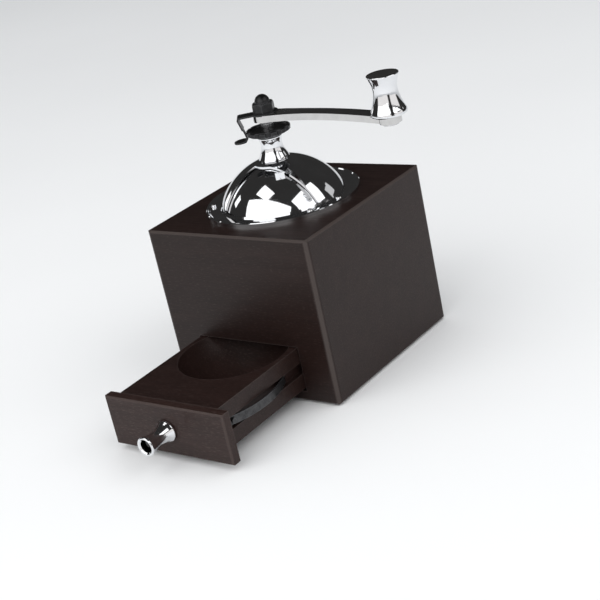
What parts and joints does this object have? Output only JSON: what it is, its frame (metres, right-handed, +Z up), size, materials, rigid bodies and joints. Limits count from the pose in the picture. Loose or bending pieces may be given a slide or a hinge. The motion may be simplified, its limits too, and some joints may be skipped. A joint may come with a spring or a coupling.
{
  "type": "hand crank box grinder",
  "caption": "Wooden box mill with a chrome dome and sliding filling door, top crank with a turned knob, conical burrs and a pull-out drawer with a round bowl.",
  "frame": {"origin": "centre of the box's square footprint, on the plane the felt pad under the box stands on", "axes": "+Z up along the spindle, -Y the way the drawer pulls out, +X to the crank knob's side"},
  "size_m": [0.1079, 0.1453, 0.1202],
  "materials": {
    "dark_wood": "matte dark chocolate-brown stain, fine grain",
    "plain_wood": "unstained beech",
    "chrome": "mirror polish",
    "polished_steel": "polished",
    "black_steel": "black oxide, satin",
    "burr_steel": "machined and hardened",
    "zinc_steel": "bright zinc plate",
    "brass": "turned",
    "felt": "pressed felt",
    "glide_plastic": "smooth"
  },
  "bodies": {
    "body": {"base_pad": "felt", "body_block": "dark_wood", "base_board": "dark_wood", "hopper_block": "dark_wood", "drawer_guides": "dark_wood", "glide_strips": "glide_plastic", "dish": "chrome", "rim_nails": "chrome", "dome_shell": "chrome", "neck": "chrome", "neck_bush": "brass", "stem_nut": "zinc_steel", "ring_burr": "burr_steel", "ring_screws": "zinc_steel", "lower_bridge": "zinc_steel", "bridge_screws": "zinc_steel"},
    "door": {"dome_door": "chrome"},
    "wheel": {"adjusting_wheel": "black_steel", "wheel_washer": "brass"},
    "cap": {"spring_cap": "zinc_steel"},
    "crank": {"spindle": "zinc_steel", "cone_burr": "burr_steel", "cone_clip": "zinc_steel", "thrust_spring": "zinc_steel", "catch_spring": "black_steel", "crank_arm": "polished_steel", "cap_nut": "black_steel", "knob_axle": "zinc_steel", "knob_washer": "zinc_steel"},
    "knob": {"crank_knob": "chrome"},
    "drawer": {"drawer_block": "dark_wood", "drawer_front": "dark_wood", "drawer_dowels": "plain_wood", "drawer_knob": "chrome", "drawer_knob_screw": "zinc_steel", "leaf_spring_right": "black_steel", "leaf_spring_left": "black_steel", "leaf_nails": "zinc_steel"}
  },
  "joints": [
    {"name": "crank_turn", "type": "hinge", "parent": "body", "child": "wheel", "pos_m": [0, 0, 0.097], "axis": [0, 0, 1], "continuous": true},
    {"name": "wheel_adjust", "type": "hinge", "parent": "wheel", "child": "cap", "pos_m": [0, 0, 0.097], "axis": [0, 0, 1], "range_deg": [-180, 180], "deforming": ["catch_spring"]},
    {"name": "burr_lift", "type": "slide", "parent": "cap", "child": "crank", "axis": [0, 0, 1], "range_m": [-0.0004, 0.0004], "deforming": ["thrust_spring"]},
    {"name": "knob_spin", "type": "hinge", "parent": "crank", "child": "knob", "pos_m": [0.06093, -0.00287, 0.1049], "axis": [0, 0, 1], "continuous": true},
    {"name": "door_turn", "type": "hinge", "parent": "body", "child": "door", "pos_m": [0, 0, 0.083], "axis": [0, 0, 1], "range_deg": [-58, 0]},
    {"name": "drawer_slide", "type": "slide", "parent": "body", "child": "drawer", "axis": [0, 1, 0], "range_m": [-0.014, 0.0486], "deforming": ["leaf_spring_right", "leaf_spring_left"]}
  ],
  "couplings": [
    {"joint": "wheel_adjust", "follows": "burr_lift", "rad_per_m": 7853.9}
  ]
}
